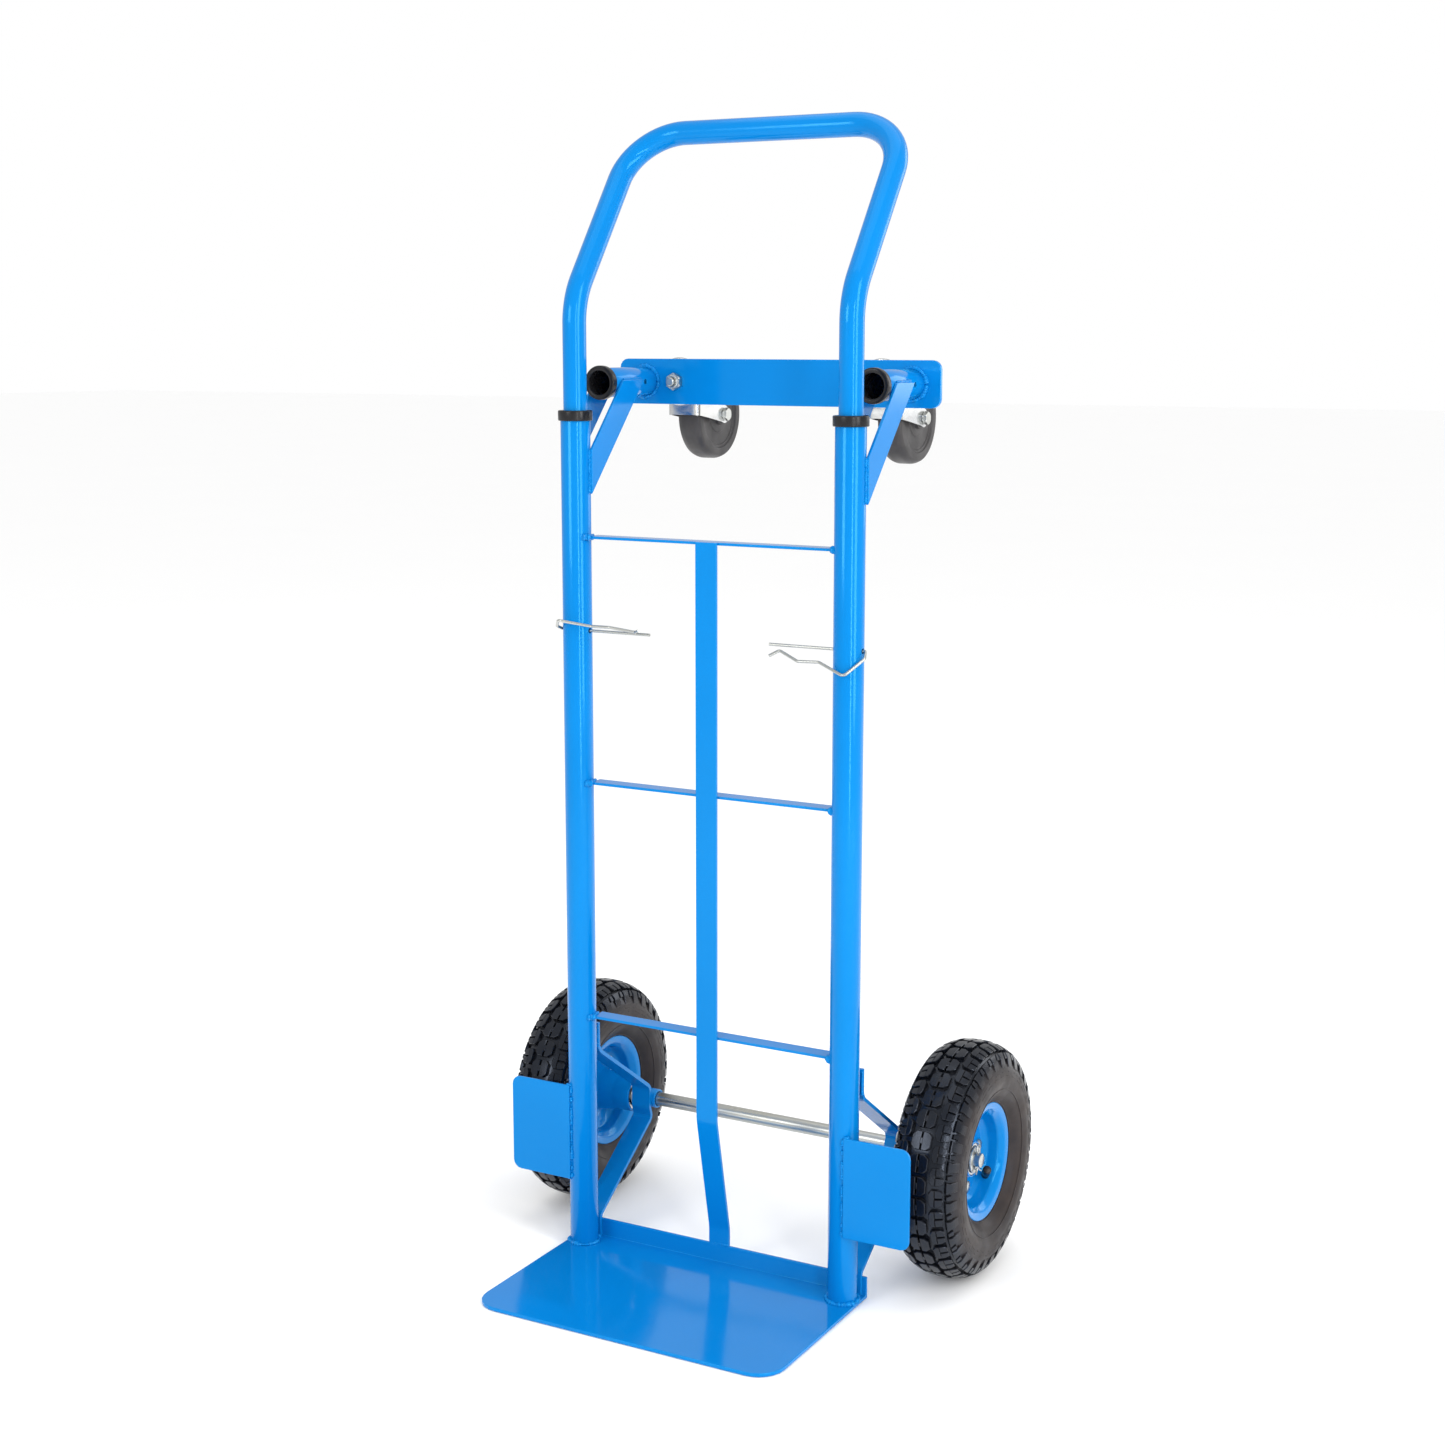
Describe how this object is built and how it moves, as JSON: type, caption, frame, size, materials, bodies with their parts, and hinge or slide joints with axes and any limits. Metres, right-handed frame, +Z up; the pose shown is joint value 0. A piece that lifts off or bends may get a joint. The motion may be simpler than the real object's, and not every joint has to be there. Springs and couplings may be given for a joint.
{
  "type": "convertible hand truck",
  "caption": "Upright steel hand truck with a toe plate, pneumatic wheels, a pull-out loop handle pinned by clips, and swivel casters behind the top for use as a cart.",
  "frame": {"origin": "on the underside of the toe plate, midway between the rails and level with the rails' centres", "axes": "+X to the right of a person who stands behind it and pushes, -Y the load side, where the toe plate points, +Z up along the rails"},
  "size_m": [0.5592, 0.471, 1.2475],
  "materials": {
    "blue_powder_coat": "glossy powder coat",
    "black_rubber": "matte",
    "butyl_rubber": "matte",
    "grey_black_rubber": "matte",
    "black_plastic": "satin",
    "zinc_plate": "zinc plated",
    "bright_steel": "bright"
  },
  "bodies": {
    "frame": {"toe_plate": "blue_powder_coat", "crossbar_lower": "blue_powder_coat", "crossbar_middle": "blue_powder_coat", "crossbar_upper": "blue_powder_coat", "center_strap": "blue_powder_coat", "axle": "zinc_plate", "caster_plate": "blue_powder_coat", "rail_left": "blue_powder_coat", "rail_right": "blue_powder_coat", "rail_collar_left": "black_plastic", "rail_collar_right": "black_plastic", "wheel_guard_left": "blue_powder_coat", "wheel_guard_right": "blue_powder_coat", "axle_bracket_left": "blue_powder_coat", "axle_bracket_right": "blue_powder_coat", "axle_sleeve_left": "blue_powder_coat", "axle_sleeve_right": "blue_powder_coat", "axle_washer_inner_left": "zinc_plate", "axle_washer_inner_right": "zinc_plate", "axle_washer_outer_left": "zinc_plate", "axle_washer_outer_right": "zinc_plate", "cotter_pin_left": "zinc_plate", "cotter_pin_right": "zinc_plate", "socket_tube_left": "blue_powder_coat", "socket_tube_right": "blue_powder_coat", "socket_collar_left": "black_plastic", "socket_collar_right": "black_plastic", "gusset_inner_left": "blue_powder_coat", "gusset_inner_right": "blue_powder_coat", "gusset_outer_left": "blue_powder_coat", "gusset_outer_right": "blue_powder_coat", "kingpin_left": "zinc_plate", "kingpin_right": "zinc_plate", "kingpin_nut_left": "zinc_plate", "kingpin_nut_right": "zinc_plate", "caster_race_left": "bright_steel", "caster_race_right": "bright_steel"},
    "handle": {"handle": "blue_powder_coat"},
    "wheel_left": {"tyre_left": "black_rubber", "inner_tube_left": "butyl_rubber", "rim_outer_left": "blue_powder_coat", "rim_inner_left": "blue_powder_coat", "wheel_bearing_outer_left": "bright_steel", "wheel_bearing_inner_left": "bright_steel"},
    "caster_left": {"caster_fork_left": "zinc_plate", "caster_bolt_left": "zinc_plate"},
    "caster_wheel_left": {"caster_wheel_left": "grey_black_rubber"},
    "clip_left": {"hitch_clip_left": "zinc_plate"},
    "wheel_right": {"tyre_right": "black_rubber", "inner_tube_right": "butyl_rubber", "rim_outer_right": "blue_powder_coat", "rim_inner_right": "blue_powder_coat", "wheel_bearing_outer_right": "bright_steel", "wheel_bearing_inner_right": "bright_steel"},
    "caster_right": {"caster_fork_right": "zinc_plate", "caster_bolt_right": "zinc_plate"},
    "caster_wheel_right": {"caster_wheel_right": "grey_black_rubber"},
    "clip_right": {"hitch_clip_right": "zinc_plate"}
  },
  "joints": [
    {"name": "handle_slide", "type": "slide", "parent": "frame", "child": "handle", "axis": [0, 0, 1], "range_m": [0, 0.475]},
    {"name": "wheel_left_spin", "type": "hinge", "parent": "frame", "child": "wheel_left", "pos_m": [-0.24, 0.143, 0.13], "axis": [1, 0, 0], "continuous": true},
    {"name": "caster_left_swivel", "type": "hinge", "parent": "frame", "child": "caster_left", "pos_m": [-0.124, 0.151, 0.969], "axis": [0, 1, 0], "continuous": true},
    {"name": "caster_wheel_left_spin", "type": "hinge", "parent": "caster_left", "child": "caster_wheel_left", "pos_m": [-0.124, 0.223, 0.931], "axis": [1, 0, 0], "continuous": true},
    {"name": "clip_left_pull", "type": "slide", "parent": "frame", "child": "clip_left", "axis": [-1, 0, 0], "range_m": [0, 0.11], "deforming": ["hitch_clip_left"]},
    {"name": "wheel_right_spin", "type": "hinge", "parent": "frame", "child": "wheel_right", "pos_m": [0.24, 0.143, 0.13], "axis": [1, 0, 0], "continuous": true},
    {"name": "caster_right_swivel", "type": "hinge", "parent": "frame", "child": "caster_right", "pos_m": [0.124, 0.151, 0.969], "axis": [0, 1, 0], "continuous": true},
    {"name": "caster_wheel_right_spin", "type": "hinge", "parent": "caster_right", "child": "caster_wheel_right", "pos_m": [0.124, 0.223, 0.931], "axis": [1, 0, 0], "continuous": true},
    {"name": "clip_right_pull", "type": "slide", "parent": "frame", "child": "clip_right", "axis": [1, 0, 0], "range_m": [0, 0.11], "deforming": ["hitch_clip_right"]}
  ]
}
